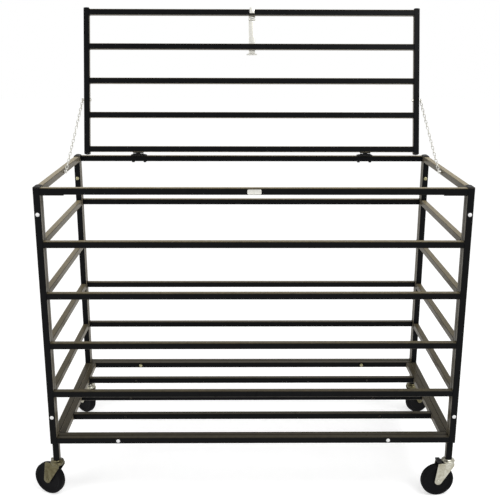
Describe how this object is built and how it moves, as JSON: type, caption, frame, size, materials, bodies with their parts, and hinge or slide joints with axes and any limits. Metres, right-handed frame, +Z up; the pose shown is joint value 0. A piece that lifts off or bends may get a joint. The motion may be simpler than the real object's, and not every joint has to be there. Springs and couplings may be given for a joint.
{
  "type": "rolling ball locker",
  "caption": "Rolling cage of black square tube with a hinged tube lid on chain stays, a strap hasp for a padlock and swivel casters.",
  "frame": {"origin": "on the floor, under the centre of the bounding box, with the lid open", "axes": "+X to the right seen from the front, +Y from the front to the back, +Z up"},
  "size_m": [1.3546, 0.7186, 1.4618],
  "materials": {
    "tube": "satin near-black powder coat",
    "hinge": "black coated steel hinge",
    "zinc": "bright zinc plate, faintly yellow",
    "wheel": "solid black rubber, matte",
    "plastic": "moulded black plastic"
  },
  "bodies": {
    "frame": {"front_panel": "tube", "back_panel": "tube", "left_end_panel": "tube", "right_end_panel": "tube", "floor_grid": "tube", "panel_bolt_front_left_top": "zinc", "panel_bolt_front_left_low": "zinc", "panel_bolt_front_right_top": "zinc", "panel_bolt_front_right_low": "zinc", "panel_bolt_back_left_top": "zinc", "panel_bolt_back_left_low": "zinc", "panel_bolt_back_right_top": "zinc", "panel_bolt_back_right_low": "zinc", "floor_bolt_front_left": "zinc", "floor_bolt_front_right": "zinc", "floor_bolt_back_left": "zinc", "floor_bolt_back_right": "zinc", "post_plug_front_left": "plastic", "post_plug_front_right": "plastic", "post_plug_back_left": "plastic", "post_plug_back_right": "plastic", "leg_plug_front_left": "plastic", "leg_plug_front_right": "plastic", "leg_plug_back_left": "plastic", "leg_plug_back_right": "plastic", "hinge_base_left": "hinge", "hinge_base_right": "hinge", "strike_plate": "zinc", "chain_anchor_frame_left": "zinc", "chain_anchor_frame_right": "zinc", "caster_stem_front_left": "zinc", "caster_stem_front_right": "zinc", "caster_stem_rear_left": "zinc", "caster_stem_rear_right": "zinc"},
    "lid": {"lid_frame": "tube", "lid_plug_front_left": "plastic", "lid_plug_front_right": "plastic", "lid_plug_rear_left": "plastic", "lid_plug_rear_right": "plastic", "hinge_leaf_left": "hinge", "hinge_leaf_right": "hinge", "hasp_leaf": "zinc", "chain_anchor_lid_left": "zinc", "chain_anchor_lid_right": "zinc"},
    "hasp_strap": {"hasp_strap": "zinc"},
    "chain_lower_left": {"chain_lower_left": "zinc"},
    "chain_upper_left": {"chain_upper_left": "zinc"},
    "chain_lower_right": {"chain_lower_right": "zinc"},
    "chain_upper_right": {"chain_upper_right": "zinc"},
    "fork_front_left": {"caster_fork_front_left": "zinc"},
    "wheel_front_left": {"caster_wheel_front_left": "wheel"},
    "fork_front_right": {"caster_fork_front_right": "zinc"},
    "wheel_front_right": {"caster_wheel_front_right": "wheel"},
    "pedal_front_right": {"brake_pedal_front_right": "plastic"},
    "fork_rear_left": {"caster_fork_rear_left": "zinc"},
    "wheel_rear_left": {"caster_wheel_rear_left": "wheel"},
    "pedal_rear_left": {"brake_pedal_rear_left": "plastic"},
    "fork_rear_right": {"caster_fork_rear_right": "zinc"},
    "wheel_rear_right": {"caster_wheel_rear_right": "wheel"}
  },
  "joints": [
    {"name": "lid_hinge", "type": "hinge", "parent": "frame", "child": "lid", "pos_m": [0, 0.21786, 0.9743], "axis": [1, 0, 0], "range_deg": [0, 104]},
    {"name": "hasp_hinge", "type": "hinge", "parent": "lid", "child": "hasp_strap", "pos_m": [0, 0.32964, 1.4226], "axis": [1, 0, 0], "range_deg": [-5, 171.5]},
    {"name": "chain_lower_left_fold", "type": "hinge", "parent": "frame", "child": "chain_lower_left", "pos_m": [-0.585, -0.03864, 0.95998], "axis": [1, 0, 0], "range_deg": [-114.49, 0]},
    {"name": "chain_upper_left_fold", "type": "hinge", "parent": "lid", "child": "chain_upper_left", "pos_m": [-0.577, 0.24901, 1.1572], "axis": [1, 0, 0], "range_deg": [-38.49, 0]},
    {"name": "chain_lower_right_fold", "type": "hinge", "parent": "frame", "child": "chain_lower_right", "pos_m": [0.585, -0.03864, 0.95998], "axis": [1, 0, 0], "range_deg": [-114.49, 0]},
    {"name": "chain_upper_right_fold", "type": "hinge", "parent": "lid", "child": "chain_upper_right", "pos_m": [0.577, 0.24901, 1.1572], "axis": [1, 0, 0], "range_deg": [-38.49, 0]},
    {"name": "swivel_front_left", "type": "hinge", "parent": "frame", "child": "fork_front_left", "pos_m": [-0.60008, -0.32671, 0.113], "axis": [0, 0, 1], "continuous": true},
    {"name": "roll_front_left", "type": "hinge", "parent": "fork_front_left", "child": "wheel_front_left", "pos_m": [-0.62871, -0.31336, 0.0508], "axis": [-0.4226, -0.9063, 0], "continuous": true},
    {"name": "swivel_front_right", "type": "hinge", "parent": "frame", "child": "fork_front_right", "pos_m": [0.60008, -0.32671, 0.113], "axis": [0, 0, 1], "continuous": true},
    {"name": "roll_front_right", "type": "hinge", "parent": "fork_front_right", "child": "wheel_front_right", "pos_m": [0.56865, -0.33002, 0.0508], "axis": [0.1045, -0.9945, 0], "continuous": true},
    {"name": "brake_front_right", "type": "hinge", "parent": "fork_front_right", "child": "pedal_front_right", "pos_m": [0.5774, -0.3291, 0.1071], "axis": [0.1045, -0.9945, 0], "range_deg": [0, 16]},
    {"name": "swivel_rear_left", "type": "hinge", "parent": "frame", "child": "fork_rear_left", "pos_m": [-0.60008, 0.21254, 0.113], "axis": [0, 0, 1], "continuous": true},
    {"name": "roll_rear_left", "type": "hinge", "parent": "fork_rear_left", "child": "wheel_rear_left", "pos_m": [-0.62428, 0.23285, 0.0508], "axis": [-0.6428, -0.766, 0], "continuous": true},
    {"name": "brake_rear_left", "type": "hinge", "parent": "fork_rear_left", "child": "pedal_rear_left", "pos_m": [-0.61754, 0.22719, 0.1071], "axis": [-0.6428, -0.766, 0], "range_deg": [0, 16]},
    {"name": "swivel_rear_right", "type": "hinge", "parent": "frame", "child": "fork_rear_right", "pos_m": [0.60008, 0.21254, 0.113], "axis": [0, 0, 1], "continuous": true},
    {"name": "roll_rear_right", "type": "hinge", "parent": "fork_rear_right", "child": "wheel_rear_right", "pos_m": [0.62871, 0.22589, 0.0508], "axis": [-0.4226, 0.9063, 0], "continuous": true}
  ],
  "couplings": [
    {"joint": "chain_lower_left_fold", "follows": "lid_hinge", "ratio": -1.1003},
    {"joint": "chain_upper_left_fold", "follows": "lid_hinge", "ratio": -0.36958},
    {"joint": "chain_lower_right_fold", "follows": "lid_hinge", "ratio": -1.1003},
    {"joint": "chain_upper_right_fold", "follows": "lid_hinge", "ratio": -0.36958}
  ]
}
